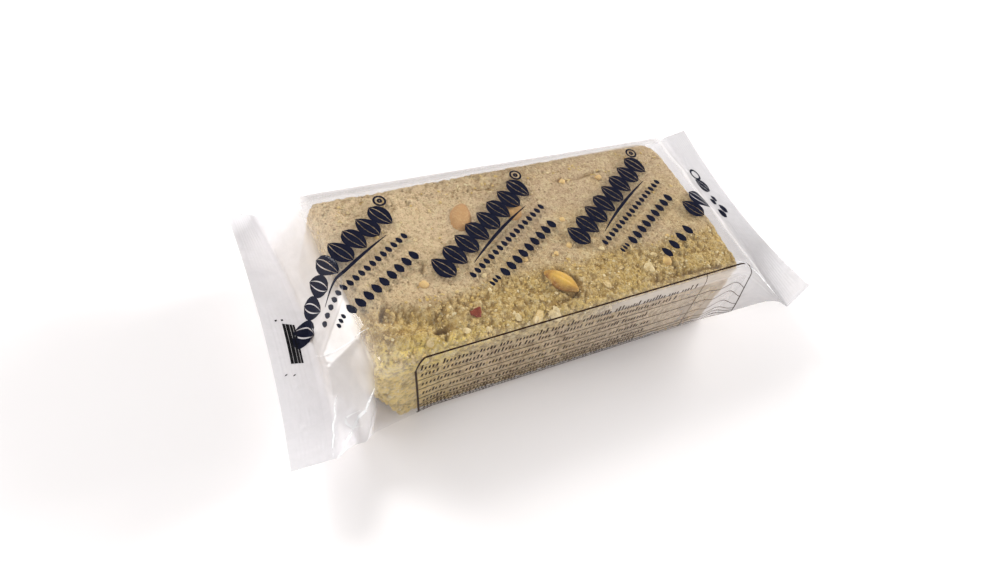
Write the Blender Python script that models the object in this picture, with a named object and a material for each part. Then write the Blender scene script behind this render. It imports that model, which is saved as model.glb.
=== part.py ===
"""A sealed clear flow-wrap pack round a pressed halva block, as one closed solid.

The pack lies on its flat underside, with its length along X and its printed side panel
towards -Y. The film tube hugs the block, tapers beyond each end, and ends in a crimped fin
that is wider than the block, because it is the whole tube pressed flat.
"""

import math

import bmesh
import bpy
from mathutils import Vector

MM = 0.001

# The film tube where it hugs the block, in millimetres.
BODY_LEFT = -77.5
BODY_RIGHT = 69.5
BODY_FRONT = -35.7
BODY_BACK_LEFT = 36.6
BODY_BACK_RIGHT = 33.8
BODY_TOP = 37.5
CORNER_RADIUS = 5.0

# The block's lower left front corner is worn away, and the film cuts across it to the fin.
FLARE_START = -55.0
FLARE = 3.2

# The fins: the overall length and width of the pack are set by their corners.
HALF_LENGTH = 109.2
HALF_WIDTH = 48.5
FIN_THICKNESS = 0.6
RIB_COUNT = 8
RIB_HEIGHT = 0.25
RIB_START = 0.06
RIB_END = 0.84

# Where the crimp starts and where the film is cut, each through its front, middle and back.
LEFT_FIN = {
    "inner": ((-95.7, -HALF_WIDTH, 17.4), (-86.6, -1.0, 15.0), (-89.1, 46.5, 17.4)),
    "outer": ((-HALF_LENGTH, -48.0, 17.4), (-100.4, -1.0, 14.6), (-98.6, 46.1, 24.2)),
}
RIGHT_FIN = {
    "inner": ((92.5, -48.0, 17.4), (95.5, 0.0, 16.6), (97.5, 47.3, 17.4)),
    "outer": ((96.3, -47.7, 29.5), (107.4, 0.0, 15.6), (HALF_LENGTH, HALF_WIDTH, 18.4)),
}

# How finely the loft is cut: along a flat, round a corner, along the tube and down a taper.
FLAT_STEPS = 14
ARC_STEPS = 4
BODY_STEPS = 5
TAPER_STEPS = 4

PACK_COLOR = (0.60, 0.50, 0.34, 1.0)
PACK_ROUGHNESS = 0.25


def half_section(front, back, side, level, radius):
    """(across, height) from the front side to the back side over one flat, corners rounded."""
    toward = math.copysign(1.0, level - side)
    arc = [math.radians(90.0 * step / ARC_STEPS) for step in range(ARC_STEPS + 1)]
    rise = [(radius * (1 - math.cos(a)), toward * radius * (1 - math.sin(a))) for a in arc]
    width = back - front - 2 * radius
    flat = [(front + radius + width * k / FLAT_STEPS, level) for k in range(1, FLAT_STEPS)]
    points = [(front, side)]
    points += [(front + inward, level - drop) for inward, drop in rise]
    points += flat
    points += [(back - inward, level - drop) for inward, drop in reversed(rise)]
    points.append((back, side))
    return points


def closed_section(front, back, low, high, radius):
    """The whole rounded section as one ring: over the top to the back, and under to the front."""
    side = (low + high) / 2
    over = half_section(front, back, side, high, radius)
    under = half_section(front, back, side, low, radius)
    return over + under[-2:0:-1]


def through(points, across):
    """The smooth line through a front, middle and back point, read at -1, 0 or 1 and between."""
    front, middle, back = (Vector(point) for point in points)
    return middle + across * (back - front) / 2 + across**2 * ((back + front) / 2 - middle)


def fin_surface(fin, across, outward):
    """A point of the fin's middle sheet: outward is 0 at the start of the crimp, 1 at the cut."""
    inner = through(fin["inner"], across)
    outer = through(fin["outer"], across)
    point = inner.lerp(outer, outward)
    # A fin curls up gently from its root, so most of the rise comes near the cut edge.
    point.z = inner.z + (outer.z - inner.z) * outward**1.5
    return point


def fin_normal(fin, across, outward):
    step = 0.02
    middle = min(max(outward, step), 1 - step)
    along = fin_surface(fin, across, middle + step) - fin_surface(fin, across, middle - step)
    side = fin_surface(fin, across + step, outward) - fin_surface(fin, across - step, outward)
    normal = along.cross(side).normalized()
    return normal if normal.z > 0 else -normal


def body_ring(x):
    """The tube round the block. It slants in at the back, and flares low down at the front left."""
    run = (x - BODY_LEFT) / (BODY_RIGHT - BODY_LEFT)
    back = BODY_BACK_LEFT + (BODY_BACK_RIGHT - BODY_BACK_LEFT) * run
    flare = FLARE * max(0.0, (FLARE_START - x) / (FLARE_START - BODY_LEFT))
    ring = []
    for across, height in closed_section(BODY_FRONT, back, 0.0, BODY_TOP, CORNER_RADIUS):
        frontness = (back - across) / (back - BODY_FRONT)
        lowness = 1 - height / BODY_TOP
        ring.append(Vector((x, across - flare * frontness * lowness, height)))
    return ring


def fin_ring(fin, outward, rib):
    """The flattened tube: the same ring of points, pressed to the fin's thickness."""
    half = FIN_THICKNESS / 2
    ring = []
    for across, height in closed_section(-HALF_WIDTH, HALF_WIDTH, -half, half, half):
        place = across / HALF_WIDTH
        normal = fin_normal(fin, place, outward)
        ring.append(fin_surface(fin, place, outward) + normal * (height + rib))
    return ring


def taper_rings(body, root):
    """Rings between the tube and the fin's root, easing out of the tube's straight run."""
    rings = []
    for step in range(1, TAPER_STEPS):
        t = step / TAPER_STEPS
        fall = 0.6 * t + 0.4 * t * t * (3 - 2 * t)
        ring = [near.lerp(far, t) for near, far in zip(body, root)]
        for point, near, far in zip(ring, body, root):
            point.z = near.z + (far.z - near.z) * fall
        rings.append(ring)
    return rings


def fin_rings(fin):
    """Rings from the fin's root to its cut edge, through the ribs that the crimp jaws press."""
    rings = [fin_ring(fin, 0.0, 0.0)]
    for step in range(2 * RIB_COUNT + 1):
        outward = RIB_START + (RIB_END - RIB_START) * step / (2 * RIB_COUNT)
        rings.append(fin_ring(fin, outward, RIB_HEIGHT * (step % 2)))
    rings.append(fin_ring(fin, 1.0, 0.0))
    return rings


def pack_rings():
    straight = BODY_RIGHT - FLARE_START
    body_x = [BODY_LEFT] + [FLARE_START + straight * k / BODY_STEPS for k in range(BODY_STEPS + 1)]
    body = [body_ring(x) for x in body_x]
    left, right = fin_rings(LEFT_FIN), fin_rings(RIGHT_FIN)
    left_taper = taper_rings(body[0], left[0])
    right_taper = taper_rings(body[-1], right[0])
    return left[::-1] + left_taper[::-1] + body + right_taper + right


def skin(mesh, rings):
    """Joins each ring to the next with quads, and returns the rings' vertices."""
    loops = [[mesh.verts.new(point * MM) for point in ring] for ring in rings]
    count = len(loops[0])
    for near, far in zip(loops, loops[1:]):
        for k in range(count):
            following = (k + 1) % count
            mesh.faces.new((near[k], near[following], far[following], far[k]))
    return loops


def close_cut_edge(mesh, loop):
    """The cut edge of a fin: a thin strip between the ring's upper and lower halves."""
    half = len(loop) // 2
    over = loop[: half + 1]
    under = [loop[0]] + loop[:half - 1:-1]
    for k in range(half):
        corners = [over[k], over[k + 1], under[k + 1], under[k]]
        mesh.faces.new(list(dict.fromkeys(corners)))


def pack_material():
    material = bpy.data.materials.new("clear_pack_of_halva")
    material.use_nodes = True
    shader = material.node_tree.nodes["Principled BSDF"]
    shader.inputs["Base Color"].default_value = PACK_COLOR
    shader.inputs["Roughness"].default_value = PACK_ROUGHNESS
    shader.inputs["Metallic"].default_value = 0.0
    return material


def build_pack():
    mesh = bmesh.new()
    loops = skin(mesh, pack_rings())
    close_cut_edge(mesh, loops[0])
    close_cut_edge(mesh, loops[-1])
    bmesh.ops.recalc_face_normals(mesh, faces=mesh.faces)
    bmesh.ops.triangulate(mesh, faces=mesh.faces)
    data = bpy.data.meshes.new("halva_pack")
    mesh.to_mesh(data)
    mesh.free()
    data.shade_smooth()
    data.set_sharp_from_angle(angle=math.radians(35))
    data.materials.append(pack_material())
    pack = bpy.data.objects.new("halva_pack", data)
    bpy.context.scene.collection.objects.link(pack)
    return pack


def clear_scene():
    for leftover in list(bpy.data.objects):
        bpy.data.objects.remove(leftover)


clear_scene()
build_pack()
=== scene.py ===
"""The looks of a sealed clear pack of pressed sunflower halva with peanuts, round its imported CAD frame."""
import math
import random

import bmesh
import bpy
import numpy as np
from mathutils import Matrix, Vector, noise


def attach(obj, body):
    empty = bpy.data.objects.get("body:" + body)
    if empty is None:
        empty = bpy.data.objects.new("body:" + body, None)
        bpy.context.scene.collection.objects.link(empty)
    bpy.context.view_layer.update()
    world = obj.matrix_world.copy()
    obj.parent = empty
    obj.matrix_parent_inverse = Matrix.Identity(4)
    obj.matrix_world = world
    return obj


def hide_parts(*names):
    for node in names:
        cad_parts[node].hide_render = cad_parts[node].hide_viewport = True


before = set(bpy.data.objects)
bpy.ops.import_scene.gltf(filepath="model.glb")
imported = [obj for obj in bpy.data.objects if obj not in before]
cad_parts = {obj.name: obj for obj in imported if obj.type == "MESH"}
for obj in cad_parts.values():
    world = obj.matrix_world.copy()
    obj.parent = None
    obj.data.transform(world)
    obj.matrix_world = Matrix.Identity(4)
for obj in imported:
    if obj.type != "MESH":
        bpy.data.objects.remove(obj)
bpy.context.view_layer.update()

# --- Camera -----------------------------------------------------------------------------------
# A hand-held look down on the pack from over its printed side and left end, rolled a little.
# The camera stands at an eye point, and its axes are worked out from the two angles and the roll.
AZIMUTH, ELEVATION, ROLL = math.radians(-46.3), math.radians(48.15), math.radians(23.61)
EYE = Vector((-0.1680, -0.1491, 0.2520))
LENS_MM, SENSOR_MM, NEAR_CLIP = 31.92, 36, 0.005
toward_eye = Vector((math.sin(AZIMUTH) * math.cos(ELEVATION),
                     -math.cos(AZIMUTH) * math.cos(ELEVATION), math.sin(ELEVATION)))
level = Vector((0, 0, 1)).cross(toward_eye).normalized()
upward = toward_eye.cross(level)
right = math.cos(ROLL) * level + math.sin(ROLL) * upward
above = math.cos(ROLL) * upward - math.sin(ROLL) * level
bpy.ops.object.select_all(action="DESELECT")
bpy.ops.object.camera_add(location=EYE)
camera = bpy.context.object
camera.matrix_world = Matrix.Translation(EYE) @ Matrix((right, above, toward_eye)).transposed().to_4x4()
camera.data.sensor_width, camera.data.lens, camera.data.clip_start = SENSOR_MM, LENS_MM, NEAR_CLIP
bpy.context.scene.camera = camera
bpy.context.scene.view_settings.view_transform = "Standard"


# --- Floor and light --------------------------------------------------------------------------
# A plain white table under a bright overhead sky of studio light: the key stands behind the pack,
# so the shade falls in front of it, and a low softbox at the left end puts the glints in the film.
def start_material(name):
    """A new material, with its node tree emptied, and the tree and its output."""
    material = bpy.data.materials.new(name)
    material.use_nodes = True
    tree = material.node_tree
    tree.nodes.clear()
    return material, tree, tree.nodes.new("ShaderNodeOutputMaterial")


def add_node(tree, kind, inputs=None, **settings):
    """A node with its settings made; an input is a constant, or an output socket to link."""
    node = tree.nodes.new("ShaderNode" + kind)
    for name, value in settings.items():
        setattr(node, name, value)
    for name, value in (inputs or {}).items():
        socket = node.inputs[name]
        if isinstance(value, bpy.types.NodeSocket):
            tree.links.new(value, socket)
        else:
            socket.default_value = value
    return node


def noise_at(tree, place, scale, detail=4.0, roughness=0.55, distortion=0.0):
    return add_node(tree, "TexNoise", {"Vector": place, "Scale": scale, "Detail": detail,
                                       "Roughness": roughness, "Distortion": distortion}).outputs["Fac"]


def remap(tree, value, low, high, to_low=0.0, to_high=1.0):
    return add_node(tree, "MapRange", {"Value": value, "From Min": low, "From Max": high,
                                       "To Min": to_low, "To Max": to_high}).outputs["Result"]


def math_of(tree, operation, first, second):
    return add_node(tree, "Math", {0: first, 1: second}, operation=operation).outputs[0]


def times(tree, first, second):
    return math_of(tree, "MULTIPLY", first, second)


def object_place(tree):
    return add_node(tree, "TexCoord").outputs["Object"]


def show(tree, output, shader):
    tree.links.new(shader.outputs[0], output.inputs["Surface"])


def blend_colors(tree, share, first, second):
    node = add_node(tree, "Mix", {"Factor": share}, data_type="RGBA")
    for socket, value in ((node.inputs[6], first), (node.inputs[7], second)):
        if isinstance(value, bpy.types.NodeSocket):
            tree.links.new(value, socket)
        else:
            socket.default_value = (*value, 1.0)
    return node.outputs[2]


FLOOR_WHITE, FLOOR_SIZE, FLOOR_DROP = (0.905, 0.875, 0.868), 5, 0.0002
# The unlit part of the ceiling that the flat top of the film mirrors, so that it stays clear.
DARK_CEILING, DARK_SHARE = (0.565, 0.470, 0.678), 0.14
HORIZON_STRENGTH, ZENITH_STRENGTH = 0.95, 0.38
WINDOW_SIDE, WINDOW_LEVELS, SKY_WHITE = (0.90, -0.43, 0.0), (0.55, 1.45), (0.99, 0.99, 1.0, 1)
bpy.ops.mesh.primitive_plane_add(size=FLOOR_SIZE, location=(0, 0, -FLOOR_DROP))
floor = bpy.context.object
floor.name = "floor"
floor_paper, tree, output = start_material("white_table")
place = object_place(tree)
paper = noise_at(tree, place, 9.0)
shader = add_node(tree, "BsdfPrincipled", {
    "Base Color": blend_colors(tree, paper, FLOOR_WHITE, tuple(0.985 * c for c in FLOOR_WHITE)),
    "Roughness": 0.75, "Specular IOR Level": 0.2})
show(tree, output, shader)
floor.data.materials.append(floor_paper)

world = bpy.data.worlds.new("studio")
bpy.context.scene.world = world
world.use_nodes = True
tree = world.node_tree
sky = tree.nodes["Background"]
sky.inputs["Color"].default_value = SKY_WHITE
looking = add_node(tree, "TexCoord").outputs["Generated"]
facing_dark, facing_window = (
    add_node(tree, "VectorMath", {0: looking, 1: side}, operation="DOT_PRODUCT").outputs["Value"]
    for side in (DARK_CEILING, WINDOW_SIDE))
up_share = add_node(tree, "SeparateXYZ", {"Vector": looking}).outputs["Z"]
sky_level = times(tree, remap(tree, up_share, 0.25, 0.80, HORIZON_STRENGTH, ZENITH_STRENGTH),
                  remap(tree, facing_window, -1.0, 1.0, *WINDOW_LEVELS))
sky_level = times(tree, sky_level, remap(tree, facing_dark, 0.60, 0.88, 1.0, DARK_SHARE))
tree.links.new(sky_level, sky.inputs["Strength"])


def softbox(name, direction, distance, width, height, watts, mirrored=True):
    """A rectangle of light that faces the pack's middle, and that gloss mirrors or leaves out."""
    spot = Vector(direction).normalized() * distance + Vector((0, 0, 0.02))
    turn = Vector(direction).to_track_quat("Z", "Y").to_euler()
    bpy.ops.object.light_add(type="AREA", location=spot, rotation=turn)
    lamp = bpy.context.object
    lamp.name = name
    lamp.data.shape = "RECTANGLE"
    lamp.data.size, lamp.data.size_y = width, height
    lamp.data.energy = watts
    lamp.visible_glossy = mirrored


softbox("key_back", (-0.33, 0.75, 0.57), 1.3, 0.6, 0.45, 13.5, mirrored=False)
softbox("key_right", (0.96, 0.06, 0.30), 1.4, 0.6, 0.25, 24, mirrored=False)
softbox("fill_right", (0.92, -0.26, 0.20), 1.4, 0.5, 0.25, 5, mirrored=False)
softbox("fill_left", (-0.90, -0.10, 0.42), 1.2, 0.4, 0.3, 4, mirrored=False)
softbox("glint_left", (-0.896, 0.077, 0.236), 0.93, 0.22, 0.22, 0.8)


# --- Halva block ------------------------------------------------------------------------------
# One pressed block of sunflower paste, sugar and peanuts: flat and greyish where the film lies
# on it, yellower and crumbly on the worn front shoulder and the ends, and knobbly along the back.
MM = 0.001
BODY_LEFT, BODY_RIGHT, BODY_FRONT, BODY_TOP = -77.5, 69.5, -35.7, 37.5
BLOCK_LOW = Vector((-77.2, -34.4, 0.4))
BLOCK_HIGH = Vector((68.6, 31.9, 36.6))
BLOCK_VOXEL = 0.62
BROAD_SIZE, LUMP_SIZE, FLAKE_SIZE, GRAIN_SIZE = 21.0, 6.5, 2.3, 1.2
LOWEST, HIGHEST = 0.15, 37.2  # the relief stays clear of the film below and above it
# The radius of each upright corner, by the side of the block's middle that it lies on.
VERTICAL_ROUNDING = {(1, 1): 8.5, (-1, -1): 4.5, (1, -1): 4.0, (-1, 1): 3.0}
RIM_ROUNDING = 2.2
WORN_CORNER = {"point": (-77.2, -34.4, 20.0), "normal": (-0.72, -0.50, -0.48)}
LEFT_BULGE, BULGE_LEVEL, BULGE_REACH = 1.7, 24.0, 8.0
SHOULDER_START, SHOULDER_WIDTH, SHOULDER_DROP = -13.0, 23.0, 3.0
DENT_FROM, DENT_TO, DENT_HALF_WIDTH, DENT_DEPTH = (-69.5, -17.0), (-53.5, -24.5), 3.4, 3.0
NUT_BED_FROM, NUT_BED_TO, NUT_BED_HALF_WIDTH, NUT_BED_DEPTH = (-8.6, -18.3), (-4.2, -23.6), 3.5, 0.7
LIP_FROM, LIP_TO, LIP_HALF_WIDTH, LIP_HEIGHT = (-69.0, -26.0), (-50.0, -31.0), 2.4, 0.9
CRACKS = (  # from, to, width, depth
    ((-51.6, -5.2), (-49.8, -1.8), 0.8, 0.9), ((14.0, 20.5), (25.0, 19.6), 0.6, 0.7),
    ((25.0, 19.6), (35.5, 21.2), 0.6, 0.8), ((29.0, -30.0), (43.0, -30.6), 0.8, 0.9),
    ((43.0, -30.6), (58.0, -31.8), 0.8, 0.9), ((-11.0, -28.2), (-3.2, -27.2), 0.9, 1.2),
    ((-3.2, -27.2), (-1.0, -22.4), 0.9, 1.4), ((-56.6, -26.6), (-52.6, -26.8), 1.0, 2.0),
    ((-52.6, -26.8), (-54.8, -30.4), 0.7, 1.4), ((-71.2, -17.8), (-69.4, -14.6), 0.9, 1.2),
    ((-20.0, 24.2), (-12.0, 22.6), 0.5, 0.6))
GREY_BEIGE, OLIVE_YELLOW = (0.565, 0.411, 0.253), (0.615, 0.425, 0.135)
CREAM, PALE_BEIGE = (0.86, 0.64, 0.17), (0.81, 0.61, 0.375)
# The dark brown serves both for dark grit and for the painted shade in the pits.
PALE_GRAIN, DARK_FLECK, DARK_GRIT_AND_PIT_SHADE = (0.74, 0.61, 0.355), (0.17, 0.105, 0.040), (0.24, 0.130, 0.028)


def smooth(low, high, values):
    t = np.clip((values - low) / (high - low), 0, 1)
    return t * t * (3 - 2 * t)


def noise_over(points, size, seed=0.0):
    """Soft noise at each point, in about -1 to 1, with lumps of that size in mm."""
    scale = 1 / size
    return np.array([noise.noise(Vector((x * scale + seed, y * scale - seed, z * scale + 2 * seed)))
                     for x, y, z in points])


def flakes_over(points, size, seed=0.0):
    """Broken flakes of that size in mm: each flake's own height and tilt, and the gap round it."""
    scale = 1 / size
    heights, gaps = [], []
    for x, y, z in points:
        spot = Vector((x * scale + seed, y * scale - seed, z * scale + 2 * seed))
        distances, centres = noise.voronoi(spot)
        own = noise.cell(centres[0] * 7.31)
        turn = 6.28 * noise.cell(centres[0] * 3.17 + Vector((5, 5, 5)))
        away = spot - centres[0]
        tilt = away.x * math.cos(turn) + away.y * math.sin(turn) + 0.6 * away.z * math.cos(2 * turn)
        heights.append(own - 0.5 + 0.9 * tilt)
        gaps.append(distances[1] - distances[0])
    return np.array(heights), np.array(gaps)


def from_segment(points, start, end):
    """Each point's distance in plan from a segment."""
    start, end = np.array(start), np.array(end)
    run = end - start
    t = np.clip(((points[:, :2] - start) @ run) / (run @ run), 0, 1)
    return np.linalg.norm(points[:, :2] - (start + t[:, None] * run), axis=1)


def read_vectors(piece, kind):
    flat = np.empty(len(piece.data.vertices) * 3)
    piece.data.vertices.foreach_get(kind, flat)
    return flat.reshape(-1, 3)


def read_points(piece):
    return read_vectors(piece, "co") / MM


def write_points(piece, points):
    piece.data.vertices.foreach_set("co", (points * MM).astype(np.float32).ravel())
    piece.data.update()


def paint(piece, name, values):
    layer = piece.data.attributes.new(name, "FLOAT", "POINT")
    layer.data.foreach_set("value", values.astype(np.float32))


def painted(tree, name):
    """What was painted on the piece's points under that name."""
    return add_node(tree, "Attribute", attribute_name=name).outputs["Fac"]


def cells_at(tree, place, scale):
    """Round cells: the distance from each one's middle, and three random numbers of its own."""
    cells = add_node(tree, "TexVoronoi", {"Vector": place, "Scale": scale, "Randomness": 1.0})
    pick = add_node(tree, "SeparateColor", {"Color": cells.outputs["Color"]})
    return cells.outputs["Distance"], pick.outputs


def bump_of(tree, height, strength, distance):
    """Normals tilted by a relief that is too fine to model."""
    bump = add_node(tree, "Bump", {"Height": height, "Strength": strength, "Distance": distance})
    return bump.outputs["Normal"]


def select_edges(piece, wanted):
    """Selects, in edit mode, the edges whose two ends satisfy wanted."""
    mesh = bmesh.from_edit_mesh(piece.data)
    for face in mesh.faces:
        face.select = False
    for edge in mesh.edges:
        edge.select = wanted(*(vert.co / MM for vert in edge.verts))
    bmesh.update_edit_mesh(piece.data)


bpy.ops.object.select_all(action="DESELECT")
bpy.ops.mesh.primitive_cube_add(size=1, location=(BLOCK_LOW + BLOCK_HIGH) / 2 * MM,
                                scale=(BLOCK_HIGH - BLOCK_LOW) * MM)
block = bpy.context.object
block.name = "halva_block"
bpy.ops.object.transform_apply(location=True, rotation=True, scale=True)
bpy.ops.object.mode_set(mode="EDIT")
bpy.ops.mesh.select_mode(type="EDGE")
middle = (BLOCK_LOW + BLOCK_HIGH) / 2
for (side_x, side_y), rounding in VERTICAL_ROUNDING.items():
    select_edges(block, lambda a, b: abs(a.z - b.z) > 30 and all(
        (v.x - middle.x) * side_x > 60 and (v.y - middle.y) * side_y > 20 for v in (a, b)))
    bpy.ops.mesh.bevel(offset=rounding * MM, segments=5, affect="EDGES")
select_edges(block, lambda a, b: abs(a.z - b.z) < 0.1 and min(
    abs(a.z - BLOCK_HIGH.z), abs(a.z - BLOCK_LOW.z)) < 0.1)
bpy.ops.mesh.bevel(offset=RIM_ROUNDING * MM, segments=3, affect="EDGES")
bpy.ops.mesh.select_all(action="SELECT")
bpy.ops.mesh.bisect(plane_co=Vector(WORN_CORNER["point"]) * MM, plane_no=WORN_CORNER["normal"],
                    use_fill=True, clear_outer=True)
bpy.ops.object.mode_set(mode="OBJECT")
remesh = block.modifiers.new("grain_size", "REMESH")
remesh.mode, remesh.voxel_size = "VOXEL", BLOCK_VOXEL * MM
bpy.ops.object.modifier_apply(modifier=remesh.name)
smoothing = block.modifiers.new("pressed_smooth", "SMOOTH")
smoothing.factor, smoothing.iterations = 0.5, 6
bpy.ops.object.modifier_apply(modifier=smoothing.name)

points = read_points(block)
normals = read_vectors(block, "normal")
top = smooth(28.0, 35.5, points[:, 2])
broad = noise_over(points, BROAD_SIZE, 3.0)
lumpy = noise_over(points, LUMP_SIZE, 8.0)
flake_height, flake_gap = flakes_over(points, FLAKE_SIZE, 1.0)
grain_height, grain_gap = flakes_over(points, GRAIN_SIZE, 4.0)

# The front shoulder has slumped and crumbled, with a dent near its left end.
edge_line = SHOULDER_START + 2.6 * broad
fallen = np.clip((edge_line - points[:, 1]) / SHOULDER_WIDTH, 0, 1)
drop = SHOULDER_DROP * (0.55 * fallen + 0.45 * fallen**3) * (1 + 0.28 * broad)
dent_away = from_segment(points, DENT_FROM, DENT_TO)
dent = np.exp(-(dent_away / DENT_HALF_WIDTH) ** 2) * (0.75 + 0.4 * lumpy)
lip_away = from_segment(points, LIP_FROM, LIP_TO)
lip = np.exp(-(lip_away / LIP_HALF_WIDTH) ** 2) * (0.8 + 0.5 * lumpy)
sunk = np.zeros(len(points))
for start, end, width, depth in CRACKS:
    crack_away = from_segment(points + 0.45 * lumpy[:, None], start, end)
    sunk = np.maximum(sunk, depth * np.exp(-(crack_away / width) ** 2))

crumbly = np.clip(smooth(0.02, 0.25, fallen) + (1 - top), 0, 1)
back_band = top * smooth(19.0, 24.0, points[:, 1] + 1.5 * broad) * smooth(34.0, -10.0, points[:, 0] + 6 * broad)
roughness_share = np.clip(0.16 + 0.75 * crumbly + 0.85 * back_band, 0, 1)
flaky = roughness_share * (0.26 * flake_height - 0.16 * np.exp(-flake_gap / 0.10))
grainy = (0.65 + 0.5 * roughness_share) * (0.15 * grain_height - 0.10 * np.exp(-grain_gap / 0.16))
worn_facing = np.array(Vector(WORN_CORNER["normal"]).normalized())
worn = smooth(-3.5, -0.4, (points - np.array(WORN_CORNER["point"])) @ worn_facing)
relief = flaky + grainy + 0.16 * lumpy * (0.4 + roughness_share) + 0.14 * broad - 0.12
relief += worn * (0.9 * lumpy + 0.7 * flake_height - 0.2)
points = points + normals * relief[:, None]
points[:, 2] -= top * (drop + DENT_DEPTH * dent - LIP_HEIGHT * lip + sunk)
points[:, 2] = np.clip(points[:, 2], LOWEST, HIGHEST)
bulging = smooth(-68.0, -77.0, points[:, 0]) * smooth(-8.0, -28.0, points[:, 1])
points[:, 0] -= LEFT_BULGE * bulging * np.exp(-((points[:, 2] - BULGE_LEVEL) / BULGE_REACH) ** 2)
nut_away = from_segment(points, NUT_BED_FROM, NUT_BED_TO)
crevice = top * np.exp(-((nut_away - NUT_BED_HALF_WIDTH) / 0.6) ** 2) * np.clip(0.85 + 1.2 * lumpy, 0, 1.4)
points[:, 2] -= NUT_BED_DEPTH * crevice
write_points(block, points)

# Where the paste is oily, where it is paler, and where painted shade and painted light lie on it.
x, y, z = points.T
# Painted shade: the paste is darker in its low grains, the cracks, the dent and the crevice round the golden
# nut.
pit_shading = 0.42 - 0.6 * flaky * (1 - 0.5 * back_band) - 1.5 * grainy
pit_shading += 0.40 * top * (0.25 * dent + sunk) - 0.12 * back_band + 0.75 * crevice
paint(block, "pit_shade", np.clip(pit_shading, 0, 1))
oiled = 0.66 * crumbly * (1 - 0.6 * back_band) + 0.26 * smooth(14, -14, y) + 0.12 * broad
paint(block, "oily", np.clip(oiled + 0.3 * smooth(-66, -75, x), 0, 1))
# Paler beige over the top's left half behind the shoulder, and painted light on the faces turned to the front,
# stronger towards the right end.
paler_tone = np.maximum(0.62 * smooth(-5.0, -50.0, x) * smooth(-24.0, -8.0, y),
                   smooth(-0.35, -0.8, normals[:, 1]) * (0.75 + 0.25 * smooth(-20.0, 50.0, x)))
paint(block, "paler_tone", paler_tone * (1 + 0.3 * broad))
# Cream as painted light on the front-left corner, and a creamier band along the front edge of the shoulder.
cream_and_painted_light = smooth(-38.0, -62.0, x + 6 * broad) * smooth(-24.0, -32.0, y + 2 * lumpy)
cream_and_painted_light += 0.6 * smooth(-27.0, -32.5, y + 1.5 * lumpy) * smooth(30.0, -20.0, x) * smooth(26.0, 32.0, z)
paint(block, "cream_light", cream_and_painted_light)
bpy.ops.object.shade_smooth()

halva, tree, output = start_material("pressed_sunflower_halva")
place = object_place(tree)
pit_shade = painted(tree, "pit_shade")
oily = painted(tree, "oily")
cream_light = painted(tree, "cream_light")
paler_tone = painted(tree, "paler_tone")
blotch = noise_at(tree, place, 70.0, 5.0, 0.6)
mottle = noise_at(tree, place, 420.0, 6.0, 0.65)
grit = noise_at(tree, place, 1250.0, 4.0, 0.75)
oiliness = math_of(tree, "ADD", oily, remap(tree, blotch, 0.3, 0.7, -0.25, 0.25))
# Where the cream painted light lies, the dark grit and specks are fainter.
shade = math_of(tree, "SUBTRACT", 1.0, times(tree, cream_light, 0.6))
seed_away, seed_pick = cells_at(tree, place, 620.0)
seed_round = remap(tree, seed_away, 0.34, 0.22)
dark_seeds = times(tree, remap(tree, seed_pick[0], 0.90, 0.93), seed_round)
pale_seeds = times(tree, remap(tree, seed_pick[1], 0.86, 0.90), seed_round)
sand_away, sand_pick = cells_at(tree, place, 1350.0)
sand_round = remap(tree, sand_away, 0.55, 0.25)
dark_sand = times(tree, remap(tree, sand_pick[0], 0.70, 0.95, 0.0, 0.42), times(tree, sand_round, shade))
pale_sand = times(tree, remap(tree, sand_pick[1], 0.65, 0.95, 0.0, 0.75), sand_round)
dough = blend_colors(tree, remap(tree, oiliness, 0.0, 1.0), GREY_BEIGE, OLIVE_YELLOW)
# Over the dough: paler tone and painted light, cream painted light, pale and dark grains and specks, and last
# the painted pit shade.
for share, color in (
        (paler_tone, PALE_BEIGE), (times(tree, cream_light, 0.75), CREAM), (remap(tree, mottle, 0.50, 0.74), PALE_GRAIN),
        (times(tree, remap(tree, grit, 0.50, 0.34, 0.0, 0.66), shade), DARK_GRIT_AND_PIT_SHADE),
        (remap(tree, grit, 0.54, 0.70, 0.0, 0.55), PALE_GRAIN), (times(tree, dark_seeds, 0.75), DARK_FLECK),
        (dark_sand, DARK_FLECK), (pale_sand, PALE_GRAIN), (times(tree, pale_seeds, 0.8), PALE_GRAIN),
        (remap(tree, pit_shade, 0.60, 1.0, 0.0, 0.75), DARK_GRIT_AND_PIT_SHADE)):
    dough = blend_colors(tree, share, dough, color)
height = math_of(tree, "ADD", times(tree, grit, 0.9), times(tree, mottle, 0.9))
height = math_of(tree, "ADD", height, times(tree, times(tree, sand_pick[2], sand_round), 0.5))
bump = bump_of(tree, height, 0.8, 0.0010)
shader = add_node(tree, "BsdfPrincipled", {
    "Base Color": dough, "Roughness": remap(tree, grit, 0.3, 0.7, 0.5, 0.85),
    "Specular IOR Level": 0.35, "Normal": bump})
show(tree, output, shader)
block.data.materials.append(halva)
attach(block, "root")


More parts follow.
